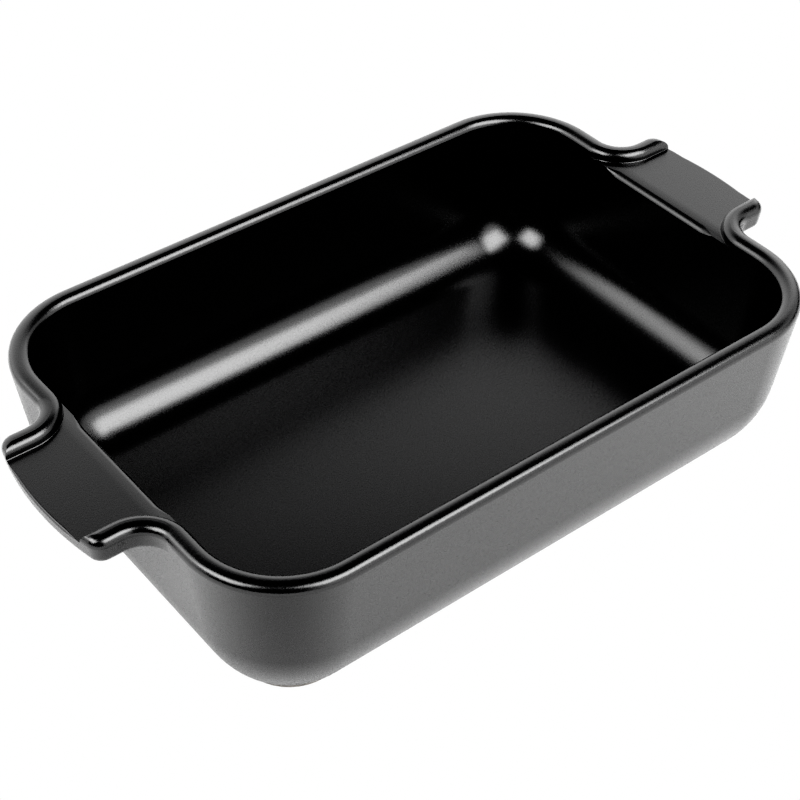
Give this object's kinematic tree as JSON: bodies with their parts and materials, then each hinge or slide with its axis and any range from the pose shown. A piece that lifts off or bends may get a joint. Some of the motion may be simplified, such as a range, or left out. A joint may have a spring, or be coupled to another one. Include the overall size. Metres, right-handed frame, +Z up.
{
  "type": "baking dish",
  "caption": "Deep oblong stoneware baking dish with rounded corners, a rolled rim that sweeps out into a lug handle at each end, black satin glaze and a bare foot.",
  "frame": {"origin": "centre of the foot, on the surface that the dish stands on", "axes": "+X along the dish towards one handle, +Y across it, +Z up out of the open basin"},
  "size_m": [0.221, 0.1276, 0.0498],
  "materials": {
    "stoneware": "bare, unglazed, fine grained",
    "glaze": "black satin with a fine orange peel"
  },
  "bodies": {
    "root": {"basin": "stoneware", "handle_left": "stoneware", "handle_right": "stoneware", "glaze_coat": "glaze", "base_glaze": "glaze"}
  },
  "joints": []
}
